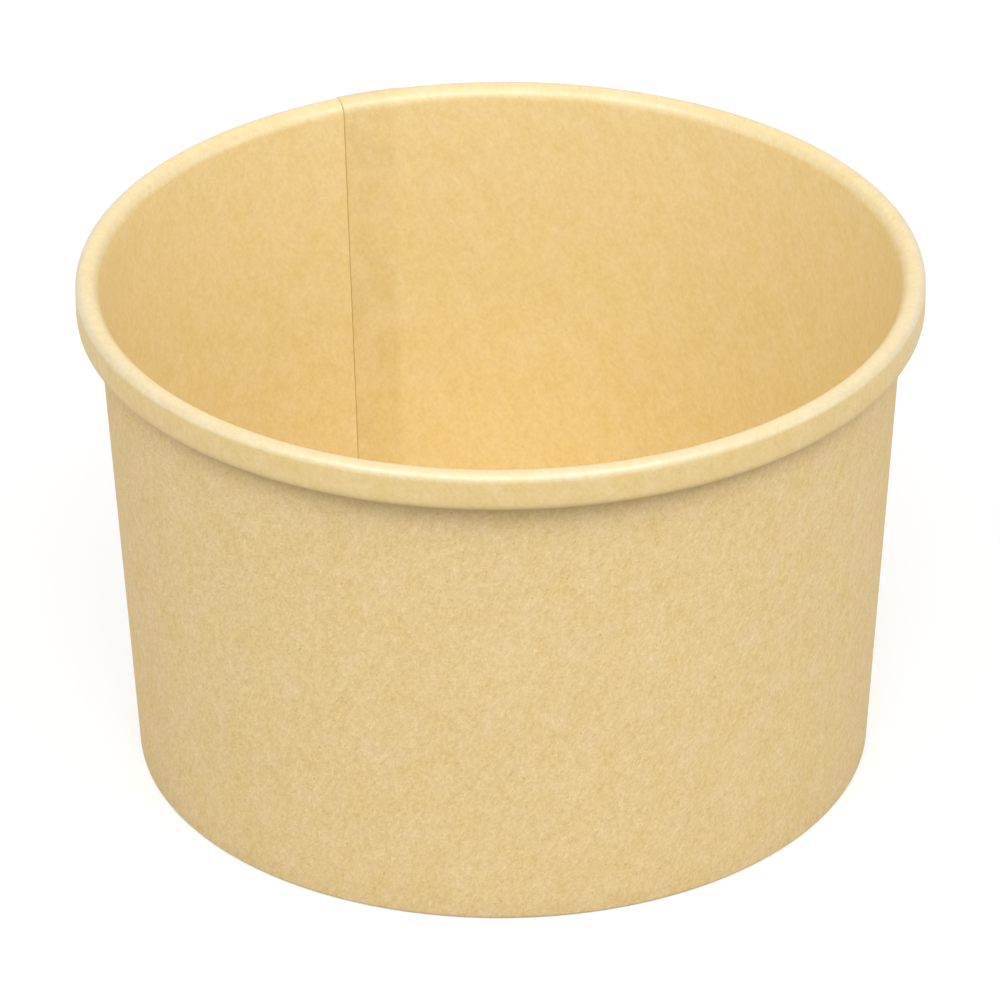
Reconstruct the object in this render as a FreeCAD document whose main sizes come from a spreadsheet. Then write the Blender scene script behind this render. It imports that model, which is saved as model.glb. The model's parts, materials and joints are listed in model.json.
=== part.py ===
# Kraft soup cup: a cone of board with a rolled rim, and a base disc sealed into its foot.
# Millimetres, +Z up, origin on the ground at the centre of the foot.

import FreeCAD, Part
import Sketcher
import math
import os

Vector = FreeCAD.Vector

doc = FreeCAD.newDocument("soup_cup")


# ---- driving dimensions ----

driving = (
    ("rim_diameter", 115.0, "across the flat outer face of the rolled rim"),
    ("cup_height", 72.0, "ground to the top of the rim"),
    ("wall_taper", 3.3, "lean of the wall from upright, in degrees"),
    ("board_thickness", 0.45, "kraft board with its inner coating"),
    ("roll_radius", 1.25, "outside radius from the top of the rim down to its outer face"),
    ("shoulder_radius", 1.95, "outside radius of the wall's gentler bend up into the rim"),
    ("roll_height", 5.7, "top of the rim to its underside"),
    ("roll_gap", 0.1, "between the wall and the end tucked up inside the rim"),
    ("tail_length", 1.6, "straight end of the sheet inside the rim"),
    ("fold_radius", 0.12, "inside radius of the two folds at the foot"),
    ("seal_gap", 0.05, "glue line on each side of the base's skirt"),
    ("base_height", 8.5, "ground to the top of the base disc"),
    ("base_bend", 0.2, "inside radius where the base turns down into its skirt"),
    ("hem_drop", 1.0, "underside of the base disc to the top of the hem"),
    ("skirt_gap", 0.3, "folded foot to the lower edge of the skirt"),
    ("seam_angle", 113.8, "azimuth of the inner flap's edge, in degrees from +X"),
    ("lap_width", 7.73, "overlap of the side seam, along the rim"),
    ("step_width", 0.3, "where the outer flap climbs over the inner flap's edge"),
    ("lap_swell", 0.2, "how far the doubled board pushes the rim out"),
    ("fade_width", 3.0, "where the rim settles back beside the lap"),
)

dims = doc.addObject("Spreadsheet::Sheet", "dims")
for row, (alias, value, note) in enumerate(driving, start=1):
    dims.set(f"A{row}", alias)
    dims.set(f"B{row}", str(value))
    dims.set(f"C{row}", note)
    dims.setAlias(f"B{row}", alias)
doc.recompute()

board = dims.board_thickness
taper = math.radians(dims.wall_taper)
cos_taper = math.cos(taper)
sin_taper = math.sin(taper)
up_wall = Vector(sin_taper, cos_taper, 0)      # along the wall, towards the rim
into_cup = Vector(-cos_taper, sin_taper, 0)    # square to the wall, towards the axis
into_angle = math.pi - taper                   # the direction of into_cup
down_angle = 1.5 * math.pi


# ---- helpers ----

def origin_plane(body, role):
    for feature in body.Origin.OriginFeatures:
        if feature.Role == role:
            return feature
    raise ValueError(role)


def section_sketch(body, name, turn_text=None, turn=0.0):
    # A sketch on an upright half-plane through the axis: x is the radius, y is the height.
    sketch = body.newObject("Sketcher::SketchObject", name)
    sketch.AttachmentSupport = [(origin_plane(body, "XZ_Plane"), "")]
    sketch.MapMode = "FlatFace"
    if turn_text:
        rotation = FreeCAD.Rotation(Vector(0, 1, 0), turn)
        sketch.AttachmentOffset = FreeCAD.Placement(Vector(0, 0, 0), rotation)
        sketch.setExpression("AttachmentOffset.Rotation.Angle", f"({turn_text}) * 1 deg")
    return sketch


def arc(centre, radius, from_angle, to_angle):
    circle = Part.Circle(centre, Vector(0, 0, 1), radius)
    return Part.ArcOfCircle(circle, from_angle, to_angle)


def rule(sketch, *terms):
    # A geometric constraint without a size.
    sketch.addConstraint(Sketcher.Constraint(*terms))


def sized(sketch, text, *terms):
    # A constraint whose size follows an expression of the sheet.
    index = sketch.addConstraint(Sketcher.Constraint(*terms))
    sketch.setExpression(f"Constraints[{index}]", text)


def revolve(body, name, sketch, turn_text):
    feature = body.newObject("PartDesign::Revolution", name)
    feature.Profile = sketch
    feature.ReferenceAxis = (sketch, ["V_Axis"])
    feature.setExpression("Angle", f"({turn_text}) * 1 deg")
    return feature


def loft(body, name, first, last):
    feature = body.newObject("PartDesign::AdditiveLoft", name)
    feature.Profile = first
    feature.Sections = [last]
    feature.Ruled = True
    return feature


# ---- side wall: the sheet's section ----

# The sheet runs from the end tucked up inside the rim, round the roll, down the wall and round the
# foot to the top of the hem. Its face is the coated side: inside the cup, outside on the rim.
# A section holds the layers between two depths below that face.

tail, under_roll, rim_face, over_roll, shoulder, wall, fold_out, foot, fold_in, hem = range(10)
first, last, centre = 1, 2, 3    # a sketch curve's own points


class Zone:
    # One stretch of the wall: how many layers lie there and how far they push the rim out.

    def __init__(self, layers, swell_text, swell):
        self.stack_text = f"{layers} * dims.board_thickness"
        self.stack = layers * board
        self.over_text = f"(dims.roll_radius + ({swell_text}) / 2)"
        self.over_radius = dims.roll_radius + swell / 2
        self.shoulder_text = f"(dims.shoulder_radius + ({swell_text}) / 2)"
        self.shoulder_radius = dims.shoulder_radius + swell / 2
        self.swell_text = swell_text
        self.swell = swell
        self.under_text = (
            f"({self.over_text} * cos(dims.wall_taper) + {self.shoulder_text}"
            " + (dims.roll_height - dims.shoulder_radius) * sin(dims.wall_taper)"
            f" - {self.stack_text} - dims.roll_gap)"
            " / (1 + cos(dims.wall_taper) + sin(dims.wall_taper))"
        )
        self.under_radius = (
            self.over_radius * cos_taper + self.shoulder_radius
            + (dims.roll_height - dims.shoulder_radius) * sin_taper
            - self.stack - dims.roll_gap
        ) / (1 + cos_taper + sin_taper)


def sheet_curves(zone, depth):
    # The ten curves of the sheet at one depth below its face, from tail to hem.
    rim_radius = dims.rim_diameter / 2 + zone.swell
    over_centre = Vector(rim_radius - zone.over_radius, dims.cup_height - dims.roll_radius, 0)
    shoulder_centre = Vector(over_centre.x, dims.cup_height - dims.shoulder_radius, 0)
    roll_floor = dims.cup_height - dims.roll_height
    under_centre = Vector(rim_radius - zone.under_radius, roll_floor + zone.under_radius, 0)
    over = zone.over_radius - depth
    bend = zone.shoulder_radius - depth
    under = zone.under_radius - depth
    fold = dims.fold_radius + depth

    fold_height = zone.stack + dims.fold_radius
    on_face = shoulder_centre + into_cup * zone.shoulder_radius
    along = (fold_height - on_face.y - dims.fold_radius * sin_taper) / cos_taper
    fold_centre = on_face + up_wall * along + into_cup * dims.fold_radius
    hem_space = board + 2 * dims.seal_gap
    hem_shift = (hem_space - 2 * dims.fold_radius) / cos_taper
    hem_centre = fold_centre - Vector(hem_shift, 0, 0)

    tail_foot = under_centre + into_cup * under
    tail_end = tail_foot + up_wall * dims.tail_length
    side = Vector(rim_radius - depth, 0, 0)
    wall_top = shoulder_centre + into_cup * bend
    wall_foot = fold_centre - into_cup * fold
    sole = Vector(0, zone.stack - depth, 0)
    hem_foot = hem_centre + into_cup * fold
    hem_height = dims.base_height - board - dims.hem_drop + depth * sin_taper
    hem_top = hem_foot + up_wall * ((hem_height - hem_foot.y) / cos_taper)
    return [
        Part.LineSegment(tail_end, tail_foot),
        arc(under_centre, under, into_angle, 2 * math.pi),
        Part.LineSegment(side + Vector(0, under_centre.y, 0), side + Vector(0, over_centre.y, 0)),
        arc(over_centre, over, 0, math.pi / 2),
        arc(shoulder_centre, bend, math.pi / 2, into_angle),
        Part.LineSegment(wall_top, wall_foot),
        arc(fold_centre, fold, down_angle, 2 * math.pi - taper),
        Part.LineSegment(sole + Vector(fold_centre.x, 0, 0), sole + Vector(hem_centre.x, 0, 0)),
        arc(hem_centre, fold, into_angle, down_angle),
        Part.LineSegment(hem_foot, hem_top),
    ]


def join_curves(sketch, start):
    # Each curve of the sheet runs smoothly into the next.
    joints = (
        (tail, last, under_roll, first),
        (under_roll, last, rim_face, first),
        (rim_face, last, over_roll, first),
        (over_roll, last, shoulder, first),
        (shoulder, last, wall, first),
        (wall, last, fold_out, last),
        (fold_out, first, foot, first),
        (foot, last, fold_in, last),
        (fold_in, first, hem, first),
    )
    for one, one_point, other, other_point in joints:
        rule(sketch, "Tangent", start + one, one_point, start + other, other_point)


def draw_section(body, name, zone, layers, turn_text=None, turn=0.0):
    # layers are the depths, counted in boards, between which the section lies.
    upper, lower = layers
    upper_text = f"{upper} * dims.board_thickness"
    lower_text = f"{lower} * dims.board_thickness"
    sketch = section_sketch(body, name, turn_text, turn)
    near = sheet_curves(zone, upper * board)
    far = sheet_curves(zone, lower * board)
    count = len(near)
    sketch.addGeometry(near + far, False)
    tail_cap = sketch.addGeometry(Part.LineSegment(near[tail].StartPoint, far[tail].StartPoint), False)
    hem_cap = sketch.addGeometry(Part.LineSegment(near[hem].EndPoint, far[hem].EndPoint), False)

    join_curves(sketch, 0)
    join_curves(sketch, count)
    for cap, curve, point in ((tail_cap, tail, first), (hem_cap, hem, last)):
        rule(sketch, "Coincident", cap, first, curve, point)
        rule(sketch, "Coincident", cap, last, count + curve, point)
        rule(sketch, "Perpendicular", cap, curve)
    for turn_curve in (under_roll, over_roll, shoulder, fold_out, fold_in):
        rule(sketch, "Coincident", turn_curve, centre, count + turn_curve, centre)
    rule(sketch, "Vertical", rim_face)
    rule(sketch, "Vertical", over_roll, centre, shoulder, centre)
    rule(sketch, "Horizontal", foot)
    rule(sketch, "Parallel", wall, hem)
    rule(sketch, "Parallel", tail, hem)
    rule(sketch, "Parallel", count + tail, tail)
    rule(sketch, "Parallel", count + hem, hem)

    origin = -1
    sized(sketch, f"dims.rim_diameter / 2 + ({zone.swell_text}) - {upper_text}",
          "DistanceX", origin, 1, rim_face, first, near[rim_face].StartPoint.x)
    sized(sketch, "dims.cup_height - dims.roll_radius",
          "DistanceY", origin, 1, over_roll, centre, near[over_roll].Center.y)
    sized(sketch, f"dims.cup_height - dims.roll_height + {zone.under_text}",
          "DistanceY", origin, 1, under_roll, centre, near[under_roll].Center.y)
    sized(sketch, f"{zone.stack_text} - {upper_text}",
          "DistanceY", origin, 1, foot, first, near[foot].StartPoint.y)
    sized(sketch, "(90 - dims.wall_taper) * 1 deg",
          "Angle", hem, math.pi / 2 - taper)
    sized(sketch, f"dims.board_thickness + 2 * dims.seal_gap + 2 * {upper_text}",
          "Distance", hem, first, wall, board + 2 * dims.seal_gap + 2 * upper * board)
    sized(sketch, "dims.tail_length", "Distance", tail, dims.tail_length)
    sized(sketch, "dims.base_height - dims.board_thickness - dims.hem_drop"
          f" + {upper_text} * sin(dims.wall_taper)",
          "DistanceY", origin, 1, hem, last, near[hem].EndPoint.y)
    sized(sketch, f"{zone.shoulder_text} - {upper_text}",
          "Radius", shoulder, near[shoulder].Radius)
    for start, curves, depth_text in ((0, near, upper_text), (count, far, lower_text)):
        sized(sketch, f"{zone.over_text} - {depth_text}",
              "Radius", start + over_roll, curves[over_roll].Radius)
        sized(sketch, f"{zone.under_text} - {depth_text}",
              "Radius", start + under_roll, curves[under_roll].Radius)
        for fold in (fold_out, fold_in):
            sized(sketch, f"dims.fold_radius + {depth_text}",
                  "Radius", start + fold, curves[fold].Radius)
    return sketch


# ---- side wall: one sheet, wrapped round and sealed along its lap ----

# Turning left from where the rim starts to swell: the swell grows, then the lap of two boards, then
# the step where the outer flap comes down beside the inner flap's edge, then a single board.

side_wall = doc.addObject("PartDesign::Body", "side_wall")
side_wall.Label = "side_wall"

degrees_text = "360 / (pi * dims.rim_diameter)"
degrees_per_width = 360 / (math.pi * dims.rim_diameter)
lap_start_text = f"dims.fade_width * {degrees_text}"
lap_end_text = f"(dims.fade_width + dims.lap_width) * {degrees_text}"
step_end_text = f"(dims.fade_width + dims.lap_width + dims.step_width) * {degrees_text}"
lap_start = dims.fade_width * degrees_per_width
lap_end = lap_start + dims.lap_width * degrees_per_width
step_end = lap_end + dims.step_width * degrees_per_width

single = Zone(1, "0", 0)
double = Zone(2, "dims.lap_swell", dims.lap_swell)

round_section = draw_section(side_wall, "round_section", single, (0, 1), step_end_text, step_end)
revolve(side_wall, "round_wall", round_section, f"360 - {step_end_text}")

fade_from = draw_section(side_wall, "fade_from", single, (0, 1))
fade_to = draw_section(side_wall, "fade_to", double, (0, 1), lap_start_text, lap_start)
loft(side_wall, "fade", fade_from, fade_to)

lap_section = draw_section(side_wall, "lap_section", double, (0, 2), lap_start_text, lap_start)
revolve(side_wall, "lap", lap_section, f"dims.lap_width * {degrees_text}")

step_from = draw_section(side_wall, "step_from", double, (1, 2), lap_end_text, lap_end)
step_to = draw_section(side_wall, "step_to", single, (0, 1), step_end_text, step_end)
loft(side_wall, "step", step_from, step_to)

seam_turn = dims.seam_angle - lap_end
side_wall.Placement = FreeCAD.Placement(Vector(0, 0, 0), FreeCAD.Rotation(Vector(0, 0, 1), seam_turn))
side_wall.setExpression("Placement.Rotation.Angle", f"(dims.seam_angle - {lap_end_text}) * 1 deg")


# ---- base disc: a flat round blank with its edge turned down inside the hem ----

base_disc = doc.addObject("PartDesign::Body", "base_disc")
base_disc.Label = "base_disc"

bend_centre_text = (
    "dims.rim_diameter / 2 - dims.roll_radius"
    " - (dims.shoulder_radius + dims.seal_gap + dims.board_thickness + dims.base_bend)"
    " / cos(dims.wall_taper)"
    " - (dims.cup_height - dims.shoulder_radius"
    " - dims.base_height + dims.board_thickness + dims.base_bend)"
    " * tan(dims.wall_taper)"
)
bend_height = dims.base_height - board - dims.base_bend
bend_centre = Vector(
    dims.rim_diameter / 2 - dims.roll_radius
    - (dims.shoulder_radius + dims.seal_gap + board + dims.base_bend) / cos_taper
    - (dims.cup_height - dims.shoulder_radius - bend_height) * math.tan(taper),
    bend_height, 0)
outer_bend = dims.base_bend + board
skirt_end = 2 * board + dims.skirt_gap

inner_start = bend_centre - into_cup * dims.base_bend
outer_start = bend_centre - into_cup * outer_bend
inner_end = inner_start - up_wall * ((inner_start.y - skirt_end) / cos_taper)
outer_end = inner_end - into_cup * board
base_top = dims.base_height

disc_section = section_sketch(base_disc, "disc_section")
disc_section.addGeometry([
    Part.LineSegment(Vector(0, base_top, 0), Vector(bend_centre.x, base_top, 0)),
    arc(bend_centre, outer_bend, 2 * math.pi - taper, 2.5 * math.pi),
    Part.LineSegment(outer_start, outer_end),
    Part.LineSegment(outer_end, inner_end),
    Part.LineSegment(inner_end, inner_start),
    arc(bend_centre, dims.base_bend, 2 * math.pi - taper, 2.5 * math.pi),
    Part.LineSegment(Vector(bend_centre.x, base_top - board, 0), Vector(0, base_top - board, 0)),
    Part.LineSegment(Vector(0, base_top - board, 0), Vector(0, base_top, 0)),
], False)
top_face, top_bend, skirt_out, skirt_cap, skirt_in, under_bend, under_face, on_axis = range(8)
rule(disc_section, "Tangent", top_face, last, top_bend, last)
rule(disc_section, "Tangent", top_bend, first, skirt_out, first)
rule(disc_section, "Coincident", skirt_out, last, skirt_cap, first)
rule(disc_section, "Coincident", skirt_cap, last, skirt_in, first)
rule(disc_section, "Tangent", skirt_in, last, under_bend, first)
rule(disc_section, "Tangent", under_bend, last, under_face, first)
rule(disc_section, "Coincident", under_face, last, on_axis, first)
rule(disc_section, "Coincident", on_axis, last, top_face, first)
rule(disc_section, "Coincident", top_bend, centre, under_bend, centre)
rule(disc_section, "PointOnObject", top_face, first, -2)
rule(disc_section, "Vertical", on_axis)
rule(disc_section, "Horizontal", top_face)
rule(disc_section, "Perpendicular", skirt_cap, skirt_in)
rule(disc_section, "Parallel", skirt_out, skirt_in)
rule(disc_section, "Horizontal", under_face)
sized(disc_section, "dims.base_height", "DistanceY", -1, 1, top_face, first, base_top)
sized(disc_section, bend_centre_text, "DistanceX", -1, 1, top_bend, centre, bend_centre.x)
sized(disc_section, "dims.base_bend", "Radius", under_bend, dims.base_bend)
sized(disc_section, "dims.base_bend + dims.board_thickness", "Radius", top_bend, outer_bend)
sized(disc_section, "(90 - dims.wall_taper) * 1 deg", "Angle", skirt_in, math.pi / 2 - taper)
sized(disc_section, "2 * dims.board_thickness + dims.skirt_gap",
      "DistanceY", -1, 1, skirt_in, first, skirt_end)
revolve(base_disc, "disc", disc_section, "360")

doc.recompute()


# ---- check and write ----

for item in doc.Objects:
    if "Invalid" in item.State or "Error" in item.State:
        raise RuntimeError(f"{item.Name} failed: {item.State}")

os.makedirs("parts", exist_ok=True)
for body in (side_wall, base_disc):
    shape = body.Shape
    if shape.isNull() or not shape.isValid() or len(shape.Solids) != 1:
        raise RuntimeError(f"{body.Label} is not one valid solid")
    box = shape.BoundBox
    print(f"{body.Label}: {shape.Volume:.1f} mm3,"
          f" {box.XLength:.2f} x {box.YLength:.2f} x {box.ZLength:.2f} mm,"
          f" {len(shape.Faces)} faces")
    shape.exportStep(f"parts/{body.Label}.step")
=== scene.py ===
import json
import math

import bpy
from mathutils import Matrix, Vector


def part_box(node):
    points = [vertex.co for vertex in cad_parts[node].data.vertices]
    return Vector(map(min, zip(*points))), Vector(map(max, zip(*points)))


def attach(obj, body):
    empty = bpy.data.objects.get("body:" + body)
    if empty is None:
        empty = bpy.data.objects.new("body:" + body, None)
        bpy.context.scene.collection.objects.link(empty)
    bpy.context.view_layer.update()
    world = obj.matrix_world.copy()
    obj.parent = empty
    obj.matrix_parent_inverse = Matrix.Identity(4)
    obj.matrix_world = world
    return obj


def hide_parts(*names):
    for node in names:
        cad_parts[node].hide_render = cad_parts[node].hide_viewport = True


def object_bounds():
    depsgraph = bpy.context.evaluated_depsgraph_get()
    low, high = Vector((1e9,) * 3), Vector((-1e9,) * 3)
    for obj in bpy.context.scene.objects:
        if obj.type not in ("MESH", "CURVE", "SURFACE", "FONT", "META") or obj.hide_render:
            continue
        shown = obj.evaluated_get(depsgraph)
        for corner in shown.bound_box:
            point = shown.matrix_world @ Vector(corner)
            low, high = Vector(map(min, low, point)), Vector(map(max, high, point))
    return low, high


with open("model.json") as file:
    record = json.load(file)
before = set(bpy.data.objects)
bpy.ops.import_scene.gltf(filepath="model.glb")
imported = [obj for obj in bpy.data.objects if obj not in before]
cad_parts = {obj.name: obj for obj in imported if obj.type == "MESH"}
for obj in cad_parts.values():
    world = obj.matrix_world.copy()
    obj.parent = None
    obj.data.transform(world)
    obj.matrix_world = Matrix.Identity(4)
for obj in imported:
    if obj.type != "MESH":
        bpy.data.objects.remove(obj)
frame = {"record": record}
cadLow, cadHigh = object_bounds()

mm = 0.001    # Blender works in metres, board makers in millimetres


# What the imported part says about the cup

mounts = {mount["name"]: mount for mount in frame["record"]["mounts"]}
rimRadius = mounts["lid_rim"]["dims"]["r_mm"] * mm
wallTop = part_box("side_wall")[1].z
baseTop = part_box("base_disc")[1].z


# Small tools for nodes

def addNode(tree, kind, **settings):
    node = tree.nodes.new("ShaderNode" + kind)
    for name, value in settings.items():
        setattr(node, name, value)
    return node


def feed(tree, socket, value):
    # a plain value is set on the socket, another node's output is linked to it
    if isinstance(value, bpy.types.NodeSocket):
        tree.links.new(value, socket)
    else:
        socket.default_value = value


def calc(tree, operation, *values):
    node = addNode(tree, "Math", operation=operation)
    for socket, value in zip(node.inputs, values):
        feed(tree, socket, value)
    return node.outputs[0]


def offset(tree, value, amount, onto=0.0):
    # adds a pattern that runs from 0 to 1, taken about its middle
    return calc(tree, "MULTIPLY_ADD", calc(tree, "SUBTRACT", value, 0.5), amount, onto)


def remap(tree, value, low, high, newLow=0.0, newHigh=1.0):
    node = addNode(tree, "MapRange", interpolation_type="SMOOTHSTEP")
    for socket, number in zip(node.inputs, (value, low, high, newLow, newHigh)):
        feed(tree, socket, number)
    return node.outputs[0]


def mixColour(tree, blend, factor, first, second):
    node = addNode(tree, "Mix", data_type="RGBA", blend_type=blend)
    feed(tree, node.inputs[0], factor)
    feed(tree, node.inputs[6], first)
    feed(tree, node.inputs[7], second)
    return node.outputs[2]


def inSteps(tree, vector, width, height):
    # the sheet's plan, counted in steps of this size
    node = addNode(tree, "Mapping")
    feed(tree, node.inputs["Vector"], vector)
    node.inputs["Scale"].default_value = (1 / width, 1 / height, 1)
    return node.outputs[0]


def turnedPlan(tree, plan, angle):
    # the sheet's plan with its first axis along the grain of the board
    node = addNode(tree, "VectorRotate", rotation_type="Z_AXIS", invert=True)
    feed(tree, node.inputs["Vector"], plan)
    node.inputs["Angle"].default_value = angle
    return node.outputs[0]


def noise(tree, plan, width, height, detail=1.0):
    # soft blotches about this wide and high, in metres
    node = addNode(tree, "TexNoise", noise_dimensions="2D")
    feed(tree, node.inputs["Vector"], inSteps(tree, plan, width, height))
    node.inputs["Scale"].default_value = 1.0
    node.inputs["Detail"].default_value = detail
    return node.outputs["Fac"]


def cellPlaces(tree, plan, cell):
    # where a point lies from the middle of its own cell, in cell widths, and three chances for the cell
    grid = inSteps(tree, plan, cell, cell)
    cells = addNode(tree, "TexVoronoi", voronoi_dimensions="2D", feature="F1")
    feed(tree, cells.inputs["Vector"], grid)
    cells.inputs["Scale"].default_value = 1.0
    local = addNode(tree, "VectorMath", operation="SUBTRACT")
    feed(tree, local.inputs[0], grid)
    feed(tree, local.inputs[1], cells.outputs["Position"])
    chances = addNode(tree, "SeparateXYZ")
    feed(tree, chances.inputs[0], cells.outputs["Color"])
    return local.outputs[0], cells.outputs["Distance"], chances.outputs


# What the board is made of

fibreShape = {
    "lean": 1.9,      # radians between the two most turned ones
    "bend": 0.6,      # how much the most curved ones sag
    "core": 0.3,      # full depth over this share of the width
    "taper": 0.25,    # and over this share of the length on each side of the middle
}

fleckShape = {"core": 0.2, "edge": 0.6}    # full depth and none, as shares of its width


def fibres(tree, plan, cell, length, width):
    # one short curved fibre in each cell, turned either way from the grain
    local, _, chances = cellPlaces(tree, plan, cell)
    turned = addNode(tree, "VectorRotate", rotation_type="Z_AXIS")
    feed(tree, turned.inputs["Vector"], local)
    feed(tree, turned.inputs["Angle"], offset(tree, chances[0], fibreShape["lean"]))
    axes = addNode(tree, "SeparateXYZ")
    feed(tree, axes.inputs[0], turned.outputs[0])
    along, across = axes.outputs[0], axes.outputs[1]
    curl = offset(tree, chances[1], 2 * fibreShape["bend"])
    sag = calc(tree, "MULTIPLY", calc(tree, "MULTIPLY", along, along), curl)
    side = calc(tree, "ABSOLUTE", calc(tree, "SUBTRACT", across, sag))
    reach = calc(tree, "ABSOLUTE", along)
    thin = remap(tree, side, fibreShape["core"] * width / cell, width / cell, 1.0, 0.0)
    short = remap(tree, reach, fibreShape["taper"] * length / cell, length / 2 / cell, 1.0, 0.0)
    return calc(tree, "MULTIPLY", calc(tree, "MULTIPLY", thin, short), chances[2])


def flecks(tree, plan, cell, width, share):
    # a small dark spot in that share of the cells
    _, distance, chances = cellPlaces(tree, plan, cell)
    spot = remap(tree, distance, fleckShape["core"] * width / cell, fleckShape["edge"] * width / cell,
                 1.0, 0.0)
    return calc(tree, "MULTIPLY", spot, calc(tree, "LESS_THAN", chances[0], share))


def boardPattern(tree, plan, look):
    # how light a spot is beside the sheet's own tone, how far it stands up, and the middling blotches
    light = 1.0
    blotches = []
    for size, depth in look["mottle"]:
        blotches.append(noise(tree, plan, size * look["grainStretch"], size))
        light = offset(tree, blotches[-1], depth, light)
    relief = blotches[-1]    # the finest blotches also stand up from the sheet
    for (cell, length, width), depth in look["fibres"]:
        strand = fibres(tree, plan, cell, length, width)
        light = calc(tree, "MULTIPLY_ADD", strand, depth, light)
        relief = calc(tree, "MULTIPLY_ADD", strand, look["fibreRelief"], relief)
    for (cell, width, share), depth in look["flecks"]:
        light = calc(tree, "MULTIPLY_ADD", flecks(tree, plan, cell, width, share), -depth, light)
    return light, relief, blotches[len(blotches) // 2 - 1]


def lapShadow(tree, plan, lap, light):
    # the doubled board shows through as a patchy darker band
    doubled = addNode(tree, "Attribute", attribute_name="lapShade").outputs["Fac"]
    patches = noise(tree, plan, lap["blotch"], lap["blotch"])
    patchy = remap(tree, patches, *lap["blotchEdges"], lap["faintest"], 1.0)
    return calc(tree, "MULTIPLY_ADD", calc(tree, "MULTIPLY", doubled, patchy), -lap["depth"], light)


def boardTint(tree, plan, look):
    hue = 0.5
    for size, depth in look["hues"]:    # the paler blotches are also a little cooler
        hue = offset(tree, noise(tree, plan, size * look["grainStretch"], size), depth, hue)
    return mixColour(tree, "MIX", hue, look["warm"], look["cool"])


def shaded(tree, tint, light, fade):
    # red, green and blue fall off by different shares, so darker spots are also warmer
    change = addNode(tree, "VectorMath", operation="SCALE")
    change.inputs[0].default_value = fade
    feed(tree, change.inputs["Scale"], calc(tree, "SUBTRACT", light, 1.0))
    tone = addNode(tree, "VectorMath", operation="MULTIPLY_ADD")
    feed(tree, tone.inputs[0], change.outputs[0])
    feed(tree, tone.inputs[1], tint)
    feed(tree, tone.inputs[2], tint)
    return tone.outputs[0]


def roundRim(tree, turned, stops):
    # a colour or weight that changes as the board turns over into the rim; the colours carry a painted
    # highlight on the crest and painted shade under the rim
    ramp = addNode(tree, "ValToRGB")
    feed(tree, ramp.inputs["Fac"], turned)
    points = ramp.color_ramp.elements
    points.remove(points[1])
    points[0].position = stops[0][0]
    for place, _ in stops[1:]:
        points.new(place)
    for point, (_, tone) in zip(points, stops):
        point.color = (*tone, 1) if isinstance(tone, tuple) else (tone, tone, tone, 1)
    return ramp.outputs["Color"]


def crimped(tree, flatPlan, turned, rim, relief):
    # board rolled into a rim is crimped into faint upright wrinkles
    wrinkles = noise(tree, flatPlan, rim["wrinkleWidth"], rim["wrinkleLength"], detail=2.0)
    rolled = remap(tree, turned, 0.0, topTurn)
    crimp = calc(tree, "MULTIPLY", calc(tree, "SUBTRACT", wrinkles, 0.5), rolled)
    return calc(tree, "MULTIPLY_ADD", crimp, rim["wrinkleDepth"], relief)


def boardFinish(name, look):
    material = bpy.data.materials.new(name)
    material.use_nodes = True
    tree = material.node_tree
    shader = tree.nodes["Principled BSDF"]
    flatPlan = addNode(tree, "Attribute", attribute_name="boardPlan").outputs["Vector"]
    turned = addNode(tree, "Attribute", attribute_name="rimTurn").outputs["Fac"]
    plan = turnedPlan(tree, flatPlan, look["grainLean"])

    light, relief, middling = boardPattern(tree, plan, look)
    tint = boardTint(tree, plan, look)
    if look["lap"]:
        light = lapShadow(tree, plan, look["lap"], light)
    if look["rim"]:
        rim = look["rim"]
        # painted highlight on the rim's crest and painted shade under the rim, multiplied into the
        # board's tint
        tint = mixColour(tree, "MULTIPLY", 1.0, tint, roundRim(tree, turned, rim["paintedHighlightAndShade"]))
        relief = crimped(tree, flatPlan, turned, rim, relief)
        feed(tree, shader.inputs["Coat Weight"], roundRim(tree, turned, rim["coat"]))
        shader.inputs["Coat IOR"].default_value = rim["coatIor"]
        shader.inputs["Coat Roughness"].default_value = rim["coatRoughness"]
    feed(tree, shader.inputs["Base Color"], shaded(tree, tint, light, look["fade"]))
    feed(tree, shader.inputs["Roughness"],
         offset(tree, middling, look["roughSpread"], look["roughness"]))
    shader.inputs["Specular IOR Level"].default_value = look["specular"]
    shader.inputs["Sheen Weight"].default_value = look["sheen"]

    bump = addNode(tree, "Bump")
    bump.inputs["Strength"].default_value = look["bump"]
    bump.inputs["Distance"].default_value = look["relief"]
    feed(tree, bump.inputs["Height"], relief)
    feed(tree, shader.inputs["Normal"], bump.outputs[0])
    feed(tree, shader.inputs["Coat Normal"], bump.outputs[0])
    return material


topTurn, faceTurn, tailTurn = 0.25, 0.5, 0.75    # how far the board has turned over, in whole turns

kraftLook = {
    "warm": (0.801, 0.593, 0.267, 1),
    "cool": (0.796, 0.599, 0.316, 1),
    "hues": ((5 * mm, 1.2), (2.6 * mm, 0.9)), "fade": (0.80, 1.0, 1.42),
    "grainLean": math.radians(58), "grainStretch": 1.3,
    # size of a blotch and how strongly it shows
    "mottle": ((10 * mm, 0.045), (5 * mm, 0.05), (2.6 * mm, 0.075), (1.3 * mm, 0.125),
               (0.6 * mm, 0.21), (0.28 * mm, 0.21)),
    # cell, length and width, and how much lighter they are, or darker below 0
    "fibres": (((1.5 * mm, 1.4 * mm, 0.09 * mm), -0.13), ((1.2 * mm, 1.1 * mm, 0.09 * mm), 0.13),
               ((0.65 * mm, 0.6 * mm, 0.07 * mm), -0.12)),
    "fibreRelief": 0.8,
    # cell, width and share of cells that have one, and how much darker
    "flecks": (((5 * mm, 0.35 * mm, 0.5), 0.22),),
    "roughness": 0.86, "roughSpread": 0.1, "specular": 0.25, "sheen": 0.05,
    "bump": 0.35, "relief": 0.03 * mm,
    "lap": None, "rim": None,
}

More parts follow.
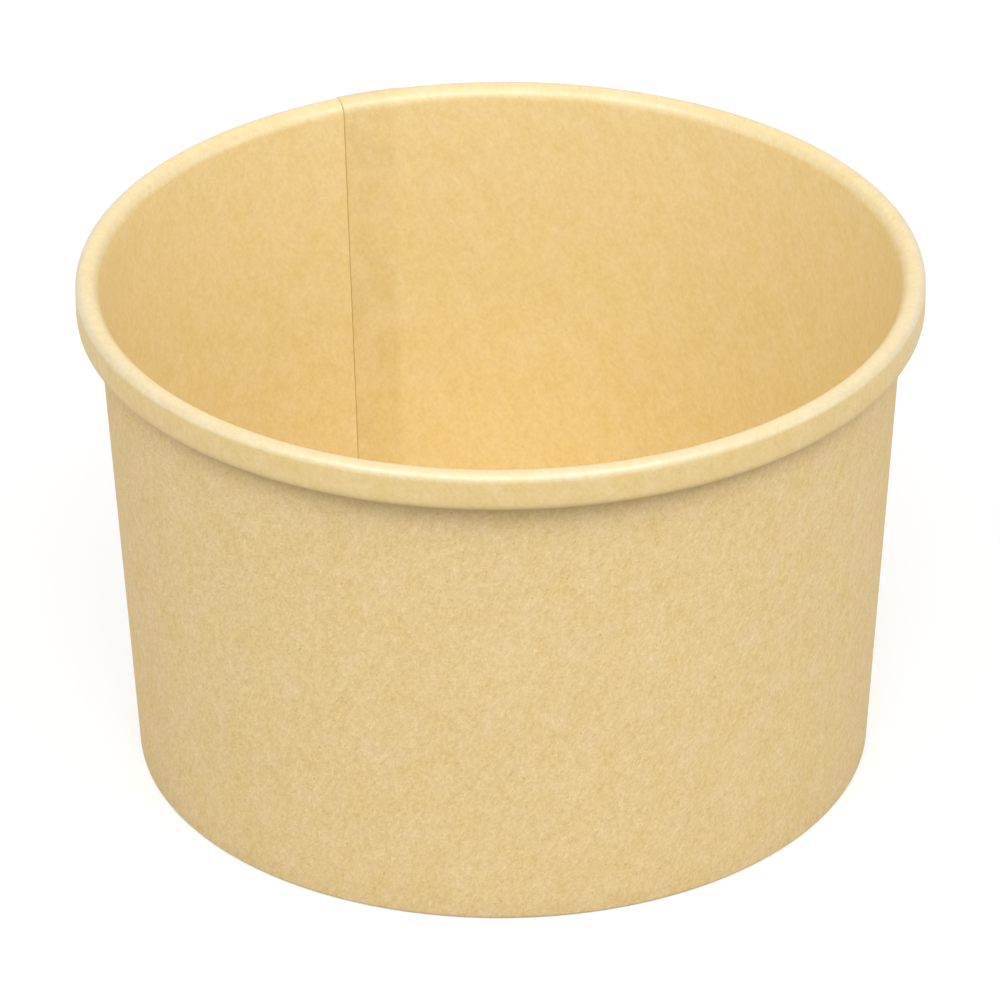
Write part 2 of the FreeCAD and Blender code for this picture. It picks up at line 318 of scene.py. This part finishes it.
rimLook = {
    # stops from the flat wall at 0, over topTurn and down faceTurn, towards tailTurn; the crest, from
    # 0.06 to 0.44, is made whiter as a painted highlight, the face is a little darker and warmer, and
    # from 0.58 on the underside is painted dark brown as painted shade under the rim
    "paintedHighlightAndShade": ((0.0, (1, 1, 1)), (0.06, (0.93, 0.96, 1.00)), (0.12, (0.89, 0.89, 0.91)),
              (0.18, (0.96, 0.94, 0.89)), (topTurn, (0.94, 0.93, 0.96)), (0.32, (0.88, 0.91, 1.02)),
              (0.38, (0.86, 0.86, 1.00)), (0.44, (0.89, 0.93, 1.03)), (faceTurn, (0.96, 0.91, 0.83)),
              (0.53, (0.93, 0.88, 0.79)), (0.58, (0.58, 0.49, 0.33)), (0.62, (0.44, 0.34, 0.18)),
              (0.70, (0.44, 0.34, 0.18))),
    "coat": ((0.0, 0.175), (0.1, 0.8), (0.2, 1.0), (0.38, 1.0), (0.44, 0.7), (faceTurn, 0.08)),
    "coatIor": 1.9, "coatRoughness": 0.41,
    "wrinkleWidth": 0.9 * mm, "wrinkleLength": 9 * mm, "wrinkleDepth": 2.0,
}

coatedLook = {
    "warm": (0.787, 0.616, 0.281, 1),
    "cool": (0.782, 0.620, 0.332, 1),
    "hues": ((4.5 * mm, 1.2), (2.4 * mm, 0.7)), "fade": (0.80, 1.0, 1.42),
    "grainLean": math.radians(58), "grainStretch": 1.25,
    "mottle": ((9 * mm, 0.032), (4.5 * mm, 0.041), (2.4 * mm, 0.066), (1.2 * mm, 0.09),
               (0.6 * mm, 0.092), (0.3 * mm, 0.06)),
    "fibres": (((2.0 * mm, 1.5 * mm, 0.1 * mm), -0.05), ((1.6 * mm, 1.3 * mm, 0.1 * mm), 0.05)),
    "fibreRelief": 0.8,
    "flecks": (((6 * mm, 0.3 * mm, 0.3), 0.10),),
    "roughness": 0.5, "roughSpread": 0.1, "specular": 0.3, "sheen": 0.0,
    "bump": 0.25, "relief": 0.02 * mm,
    "lap": {"depth": 0.09, "blotch": 5 * mm, "blotchEdges": (0.3, 0.7), "faintest": 0.45},
    "rim": rimLook,
}

edgeLook = dict(
    kraftLook, warm=(0.62, 0.44, 0.21, 1), cool=(0.68, 0.50, 0.26, 1),
    mottle=((1.0 * mm, 0.15), (0.25 * mm, 0.3)), fibres=(), flecks=(), bump=0.5)

kraftBoard = boardFinish("kraftBoard", kraftLook)
coatedBoard = boardFinish("coatedBoard", coatedLook)
cutEdge = boardFinish("cutEdge", edgeLook)
coatedSide, kraftSide, cutSide = range(3)    # each piece's material slots, in this order
print("board finishes made")


# Side wall: one long sheet, wound once round the cup and lapped over its own start

wallSheet = {
    "board": 0.45 * mm,
    "taper": math.radians(3.3),
    "rollRadius": 1.25 * mm,        # from the top of the rim down to its outer face
    "shoulderRadius": 1.95 * mm,    # the wall's gentler bend up into the rim
    "rollHeight": 5.7 * mm,
    "rollGap": 0.1 * mm,
    "tailLength": 1.6 * mm,         # tucked up inside the rim
    "foldRadius": 0.12 * mm,
    "sealGap": 0.05 * mm,
    "hemDrop": 1.0 * mm,
    "seamAngle": math.radians(113.8),
    "lapWidth": 7.73 * mm,
    "swell": 0.2 * mm,              # doubled board pushes the rim out
    "fadeWidth": 3.0 * mm,
    "crackWidth": 0.07 * mm,        # open line beside the inner flap's edge
    "edgeRound": 0.15 * mm,         # how far that edge is pressed down and rounded
    "edgeDrop": 0.18 * mm,
    "shoulderWidth": 1.8 * mm,      # soft rise of the outer flap, seen outside
    "glueLine": 0.01 * mm,
    "lapBlur": 0.6 * mm,            # how softly the doubled board shows through
    "kraftShift": 0.5,              # the kraft side has a grain of its own, this far along in metres
    # steps round the cup: flap's corner, rest of the lap, settling, plain wall, rise, crack, outer flap
    "columns": (6, 10, 8, 360, 12, 6, 10),
    # steps down the sheet: tail, roll under, face, roll over, shoulder, wall, fold, foot, fold, hem
    "rows": (3, 10, 4, 10, 14, 20, 5, 3, 5, 5),
}


def spread(count, start, end):
    return [start + (end - start) * step / count for step in range(count)]


def around(centre, radius, angle):
    return centre + Vector((math.cos(angle), math.sin(angle))) * radius


def sheetLine(sizes, layers, depth):
    # radius and height of the sheet at one depth below its coated face, from tail to hem
    board, taper = sizes["board"], sizes["taper"]
    swell = sizes["swell"] * (layers - 1)
    upright = Vector((math.sin(taper), math.cos(taper)))
    inward = Vector((-math.cos(taper), math.sin(taper)))
    inwardAngle = math.pi - taper
    height = wallTop - sizes["swell"] / 2
    overRadius = sizes["rollRadius"] + swell / 2
    overCentre = Vector((rimRadius + swell - overRadius, height - sizes["rollRadius"]))
    shoulderRadius = sizes["shoulderRadius"] + swell / 2
    shoulderCentre = Vector((overCentre.x, height - sizes["shoulderRadius"]))
    underRadius = (
        overRadius * math.cos(taper) + shoulderRadius
        + (sizes["rollHeight"] - sizes["shoulderRadius"]) * math.sin(taper)
        - layers * board - sizes["rollGap"]
    ) / (1 + math.cos(taper) + math.sin(taper))
    rollFloor = height - sizes["rollHeight"]
    underCentre = Vector((rimRadius + swell - underRadius, rollFloor + underRadius))
    foldHeight = layers * board + sizes["foldRadius"] + sizes["glueLine"]
    onFace = shoulderCentre + inward * shoulderRadius
    along = (foldHeight - onFace.y - sizes["foldRadius"] * inward.y) / upright.y
    outCentre = onFace + upright * along + inward * sizes["foldRadius"]
    hemSpace = board + 2 * sizes["sealGap"] - 2 * sizes["foldRadius"]
    inCentre = outCentre - Vector((hemSpace / math.cos(taper), 0))
    fold = sizes["foldRadius"] + depth
    hemTop = baseTop - board - sizes["hemDrop"] + depth * inward.y

    tailFoot = underCentre + inward * (underRadius - depth)
    hemFoot = inCentre + inward * fold
    corners = [
        tailFoot + upright * sizes["tailLength"],
        tailFoot,
        around(underCentre, underRadius - depth, 2 * math.pi),
        around(overCentre, overRadius - depth, 0),
        around(shoulderCentre, shoulderRadius - depth, math.pi / 2),
        shoulderCentre + inward * (shoulderRadius - depth),
        outCentre - inward * fold,
        around(outCentre, fold, 1.5 * math.pi),
        around(inCentre, fold, 1.5 * math.pi),
        hemFoot,
        hemFoot + upright * ((hemTop - hemFoot.y) / upright.y),
    ]
    arcs = {
        1: (underCentre, underRadius - depth, inwardAngle, 2 * math.pi),
        3: (overCentre, overRadius - depth, 0, math.pi / 2),
        4: (shoulderCentre, shoulderRadius - depth, math.pi / 2, inwardAngle),
        6: (outCentre, fold, 2 * math.pi - taper, 1.5 * math.pi),
        8: (inCentre, fold, 1.5 * math.pi, inwardAngle),
    }
    points = []
    for index, count in enumerate(sizes["rows"]):
        for share in spread(count, 0, 1):
            if index in arcs:
                centre, radius, start, end = arcs[index]
                points.append(around(centre, radius, start + (end - start) * share))
            else:
                points.append(corners[index].lerp(corners[index + 1], share))
    points.append(corners[-1])
    return points


def ease(value):
    value = min(max(value, 0.0), 1.0)
    return value * value * (3 - 2 * value)


def asTurn(length):
    # the angle that a length along the rim goes round
    return length / rimRadius


def windings(sizes):
    # angles turned from the inner flap's edge, closer together at the seam
    full = 2 * math.pi
    lap = asTurn(sizes["lapWidth"])
    places = [0, asTurn(sizes["edgeRound"]), lap, lap + asTurn(sizes["fadeWidth"]),
              full - asTurn(sizes["shoulderWidth"]), full - asTurn(sizes["crackWidth"]), full,
              full + lap]
    stretches = zip(sizes["columns"], places, places[1:])
    turns = [turn for count, start, end in stretches for turn in spread(count, start, end)]
    return turns + [full + lap]


def sheetColumn(sizes, turn):
    # the sheet's coated line and kraft line where it has turned so far
    board = sizes["board"]
    crack, shoulder = asTurn(sizes["crackWidth"]), asTurn(sizes["shoulderWidth"])
    full = 2 * math.pi
    easing = 1 - ease((turn - asTurn(sizes["lapWidth"])) / asTurn(sizes["fadeWidth"]))
    climbFace = ease((turn - full + crack) / crack)
    climbBack = ease((turn - full + shoulder) / shoulder)
    shift = board + sizes["glueLine"]
    rounded = (1 - ease(turn / asTurn(sizes["edgeRound"]))) * sizes["edgeDrop"]
    coated = sheetLine(sizes, 1 + max(easing, climbFace), climbFace * shift + rounded)
    kraft = sheetLine(sizes, 1 + max(easing, climbBack), board + climbBack * shift)
    return coated, kraft


def runLengths(points):
    runs = [0.0]
    for before, after in zip(points, points[1:]):
        runs.append(runs[-1] + (after - before).length)
    return runs


def lapShade(sizes, turn):
    # 1 over the doubled board, 0 elsewhere
    blur = asTurn(sizes["lapBlur"])
    return 1 - ease((turn - asTurn(sizes["lapWidth"]) + blur) / (2 * blur))


def rimTurn(sizes, row):
    # how far the board has turned over at this row: tailTurn in the tail, 0 from the wall down
    turned = tailTurn
    for rows, end in zip(sizes["rows"], (tailTurn, faceTurn, faceTurn, topTurn, 0)):
        start = turned
        turned = start + (end - start) * min(max(row / rows, 0), 1)
        row -= rows
    return turned


def buildSideWall(sizes):
    turns = windings(sizes)
    vertices, plan, shades = [], [], []
    for turn in turns:
        coated, kraft = sheetColumn(sizes, turn)
        angle = sizes["seamAngle"] - turn
        for side, points in enumerate((coated, kraft)):
            line = list(zip(range(len(points)), points, runLengths(points)))
            for row, point, run in reversed(line) if side else line:
                vertices.append((point.x * math.cos(angle), point.x * math.sin(angle), point.y))
                plan.append((turn * rimRadius + side * sizes["kraftShift"], run, 0))
                shades.append((lapShade(sizes, turn), rimTurn(sizes, row)))
    half = len(coated)
    ring = 2 * half
    faces, finishes = [], []
    for column in range(len(turns) - 1):
        here = column * ring
        for row in range(ring):
            after = (row + 1) % ring
            faces.append((here + row, here + after, here + ring + after, here + ring + row))
            cut = row in (half - 1, ring - 1)
            finishes.append(cutSide if cut else coatedSide if row < half else kraftSide)
    for end in (0, (len(turns) - 1) * ring):    # the sheet's two cut ends
        for row in range(half - 1):
            face = (end + row, end + row + 1, end + ring - 2 - row, end + ring - 1 - row)
            faces.append(face if end else tuple(reversed(face)))
            finishes.append(cutSide)
    return makePiece("wallSheet", vertices, faces, finishes, plan, shades)


creaseAngle = math.radians(40)    # edges that turn more than this stay crisp


def makePiece(name, vertices, faces, finishes, plan, shades):
    mesh = bpy.data.meshes.new(name)
    mesh.from_pydata(vertices, [], faces)
    for material in (coatedBoard, kraftBoard, cutEdge):
        mesh.materials.append(material)
    mesh.polygons.foreach_set("material_index", finishes)
    mesh.polygons.foreach_set("use_smooth", [True] * len(faces))
    planLayer = mesh.attributes.new("boardPlan", "FLOAT_VECTOR", "POINT")
    planLayer.data.foreach_set("vector", [number for place in plan for number in place])
    for index, shade in enumerate(("lapShade", "rimTurn")):
        layer = mesh.attributes.new(shade, "FLOAT", "POINT")
        layer.data.foreach_set("value", [values[index] for values in shades])
    mesh.set_sharp_from_angle(angle=creaseAngle)
    mesh.validate()
    mesh.update()
    piece = bpy.data.objects.new(name, mesh)
    bpy.context.scene.collection.objects.link(piece)
    return piece


wallPiece = buildSideWall(wallSheet)
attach(wallPiece, "root")
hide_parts("side_wall")
print("side wall wound")


# Base disc: a flat blank with its edge turned down inside the hem

baseBlank = {
    "board": 0.45 * mm,
    "bend": 0.2 * mm,
    "skirtFoot": 1.2 * mm,
    "planShift": (1.0, 1.5),    # its own stretch of board in metres, coated and kraft side
    "columns": 256,
    "rings": 24,
    "outerRows": 8,             # round the outside of the bend
    "innerRows": 6,
    "skirtRows": 4,
}


def baseProfile(sizes, sheet):
    # radius and height of the coated face and then of the kraft face, out from the middle and back
    taper = sheet["taper"]
    board, bend = sizes["board"], sizes["bend"]
    upright = Vector((math.sin(taper), math.cos(taper)))
    outward = Vector((math.cos(taper), -math.sin(taper)))
    bendHeight = baseTop - board - bend
    shoulderHeight = wallTop - sheet["swell"] / 2 - sheet["shoulderRadius"]
    bendCentre = Vector((
        rimRadius - sheet["rollRadius"]
        - (sheet["shoulderRadius"] + sheet["sealGap"] + board + bend) / math.cos(taper)
        - (shoulderHeight - bendHeight) * math.tan(taper),
        bendHeight))
    innerStart = bendCentre + outward * bend
    innerEnd = innerStart - upright * ((innerStart.y - sizes["skirtFoot"]) / upright.y)
    outerEnd = innerEnd + outward * board
    outerStart = bendCentre + outward * (bend + board)

    def corner(radius, share):
        return around(bendCentre, radius, math.pi / 2 - (math.pi / 2 + taper) * share)

    outerRows, innerRows, skirtRows = sizes["outerRows"], sizes["innerRows"], sizes["skirtRows"]
    ringRadii = spread(sizes["rings"], 0, bendCentre.x)[1:]
    coated = [Vector((radius, baseTop)) for radius in ringRadii]
    coated += [corner(bend + board, step / outerRows) for step in range(outerRows + 1)]
    coated += [outerStart.lerp(outerEnd, step / skirtRows) for step in range(1, skirtRows + 1)]
    kraft = [innerEnd.lerp(innerStart, step / skirtRows) for step in range(skirtRows)]
    kraft += [corner(bend, 1 - step / innerRows) for step in range(innerRows + 1)]
    kraft += [Vector((radius, baseTop - board)) for radius in reversed(ringRadii)]
    return coated, kraft


def buildBase(sizes, sheet):
    coated, kraft = baseProfile(sizes, sheet)
    profile = coated + kraft
    count, ring = sizes["columns"], len(profile)
    vertices, plan = [], []
    for column in range(count):
        angle = 2 * math.pi * column / count
        for index, point in enumerate(profile):
            place = (point.x * math.cos(angle), point.x * math.sin(angle), point.y)
            vertices.append(place)
            reach = math.hypot(point.x, baseTop - point.y) / max(point.x, mm)
            plan.append((place[0] * reach + sizes["planShift"][index >= len(coated)],
                         place[1] * reach, 0))
    faces, finishes = [], []
    for column in range(count):
        here = column * ring
        there = (column + 1) % count * ring
        for row in range(ring - 1):
            faces.append((here + row, here + row + 1, there + row + 1, there + row))
            cut = row == len(coated) - 1
            finishes.append(cutSide if cut else coatedSide if row < len(coated) else kraftSide)
    for row, height, side in ((0, baseTop, coatedSide), (ring - 1, baseTop - sizes["board"], kraftSide)):
        hub = len(vertices)
        vertices.append((0, 0, height))
        plan.append((sizes["planShift"][side], 0, 0))
        for column in range(count):
            here = column * ring + row
            there = (column + 1) % count * ring + row
            faces.append((hub, there, here) if side == kraftSide else (hub, here, there))
            finishes.append(side)
    return makePiece("baseBlank", vertices, faces, finishes, plan, [(0, 0)] * len(vertices))


basePiece = buildBase(baseBlank, wallSheet)
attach(basePiece, "root")
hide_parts("base_disc")
print("base set in")


# Floor, light and camera

floorLook = {"half": 6.0, "colour": (0.42, 0.42, 0.42, 1), "seen": 0.6, "roughness": 0.9}


def plainlySeen(tree):
    # 1 for what the camera and reflections show, 0 for the light that falls on the cup
    rays = addNode(tree, "LightPath").outputs
    mirrored = calc(tree, "MAXIMUM", rays["Is Glossy Ray"], rays["Is Transmission Ray"])
    return calc(tree, "MAXIMUM", rays["Is Camera Ray"], mirrored)


def buildFloor(look):
    # pale grey under the cup, lifted to white where it is looked at
    half = look["half"]
    mesh = bpy.data.meshes.new("floor")
    mesh.from_pydata([(-half, -half, 0), (half, -half, 0), (half, half, 0), (-half, half, 0)],
                     [], [(0, 1, 2, 3)])
    floor = bpy.data.objects.new("floor", mesh)
    bpy.context.scene.collection.objects.link(floor)
    material = bpy.data.materials.new("paleFloor")
    material.use_nodes = True
    tree = material.node_tree
    shader = tree.nodes["Principled BSDF"]
    shader.inputs["Base Color"].default_value = look["colour"]
    shader.inputs["Roughness"].default_value = look["roughness"]
    shader.inputs["Specular IOR Level"].default_value = 0.0
    shader.inputs["Emission Color"].default_value = (1, 1, 1, 1)
    feed(tree, shader.inputs["Emission Strength"],
         calc(tree, "MULTIPLY", plainlySeen(tree), look["seen"]))
    material.cycles.emission_sampling = "NONE"    # its white is only looked at and lights nothing
    mesh.materials.append(material)


roomLight = 0.595
boxDistance = 1.6
boxSize = 0.7

softboxes = {
    # azimuth and elevation in degrees, 0 over the camera's side, and power
    "frontBox": (0, 46, 6.4),
    "leftBox": (-45, 50, 7.0),
    "rightBox": (45, 50, 7.5),
    "topBox": (0, 80, 1.5),
    "leftFill": (-80, 15, 1.7),
    "rightFill": (80, 15, 2.7),
}


def addSoftbox(name, azimuth, elevation, power):
    # a flat square lamp that looks at the cup
    turn, rise = math.radians(azimuth), math.radians(elevation)
    back = Vector((math.sin(turn) * math.cos(rise), -math.cos(turn) * math.cos(rise), math.sin(rise)))
    light = bpy.data.lights.new(name, "AREA")
    light.size = boxSize
    light.energy = power
    lamp = bpy.data.objects.new(name, light)
    lamp.location = Vector((0, 0, (cadLow.z + cadHigh.z) / 2)) + back * boxDistance
    lamp.rotation_mode = "QUATERNION"
    lamp.rotation_quaternion = (-back).to_track_quat("-Z", "Y")
    bpy.context.scene.collection.objects.link(lamp)


def setWorld(strength):
    # lights the cup at the strength given, and is plain white where it is looked at
    world = bpy.data.worlds.new("studio")
    bpy.context.scene.world = world
    world.use_nodes = True
    tree = world.node_tree
    background = tree.nodes["Background"]
    background.inputs["Color"].default_value = (1, 1, 1, 1)
    feed(tree, background.inputs["Strength"],
         calc(tree, "MULTIPLY_ADD", plainlySeen(tree), 1.0 - strength, strength))


cameraView = {
    "elevation": math.radians(29.57),
    "distance": 1.032,
    "lens": 270.0,
    "sensor": 36.0,
    "near": 0.05,
    "far": 50.0,
    "lean": math.radians(-0.3765),
    "aim": (-0.26 * mm, 0.0, -0.15 * mm),    # from the middle of the cup
}


def placeCamera(settings):
    camera = bpy.data.cameras.new("camera")
    camera.sensor_width = settings["sensor"]
    camera.lens = settings["lens"]
    camera.clip_start = settings["near"]
    camera.clip_end = settings["far"]
    view = bpy.data.objects.new("camera", camera)
    rise, lean = settings["elevation"], settings["lean"]
    back = Vector((0, -math.cos(rise), math.sin(rise)))
    middle = (cadLow + cadHigh) / 2
    middle.x = middle.y = 0.0
    view.location = middle + Vector(settings["aim"]) + back * settings["distance"]
    view.rotation_mode = "QUATERNION"
    turn = (-back).to_track_quat("-Z", "Y").to_matrix()
    right, up = turn.col[0].copy(), turn.col[1].copy()
    turn.col[0] = right * math.cos(lean) + up * math.sin(lean)
    turn.col[1] = up * math.cos(lean) - right * math.sin(lean)
    view.rotation_quaternion = turn.to_quaternion()
    bpy.context.scene.collection.objects.link(view)
    bpy.context.scene.camera = view


buildFloor(floorLook)
setWorld(roomLight)
for name, setting in softboxes.items():
    addSoftbox(name, *setting)
placeCamera(cameraView)
bpy.context.scene.view_settings.view_transform = "Standard"
print("floor, lights and camera placed")
